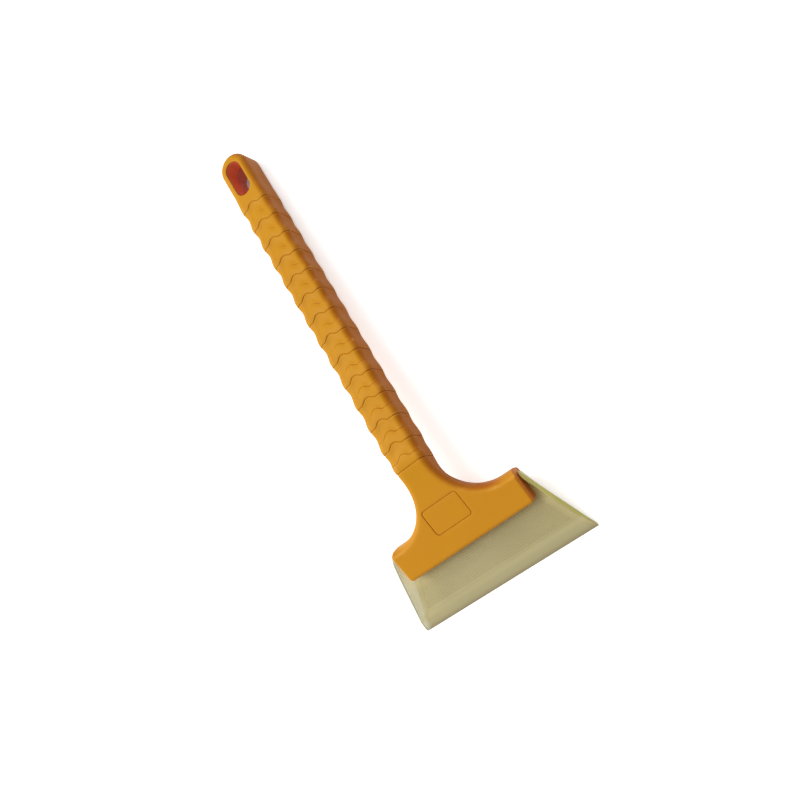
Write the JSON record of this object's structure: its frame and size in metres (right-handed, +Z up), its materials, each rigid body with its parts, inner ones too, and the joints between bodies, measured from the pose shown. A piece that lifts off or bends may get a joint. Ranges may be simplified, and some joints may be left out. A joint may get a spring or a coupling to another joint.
{
  "type": "windshield ice scraper",
  "caption": "Ice scraper with a finger-grooved two-shell handle, slotted hang end and a T-shaped head clamping a wide translucent flexible blade with upturned side wings.",
  "frame": {"origin": "on the ground under the middle of the tool's bounding box, the tool lying on its back", "axes": "+X across the blade, +Y along the handle from the scraping edge to the hang end, +Z up and out of the front face"},
  "size_m": [0.1254, 0.3324, 0.036],
  "materials": {
    "orange_plastic": "satin moulded plastic with a fine grain",
    "clear_elastomer": "translucent straw-coloured elastomer with a fine woven emboss",
    "zinc_steel": "zinc-plated self-tapping screw"
  },
  "bodies": {
    "root": {"front_shell": "orange_plastic", "back_cover": "orange_plastic", "scraper_blade": "clear_elastomer", "grip_screw_1": "zinc_steel", "grip_screw_2": "zinc_steel", "grip_screw_3": "zinc_steel", "grip_screw_4": "zinc_steel", "head_screw_left": "zinc_steel", "head_screw_centre": "zinc_steel", "head_screw_right": "zinc_steel"}
  },
  "joints": []
}
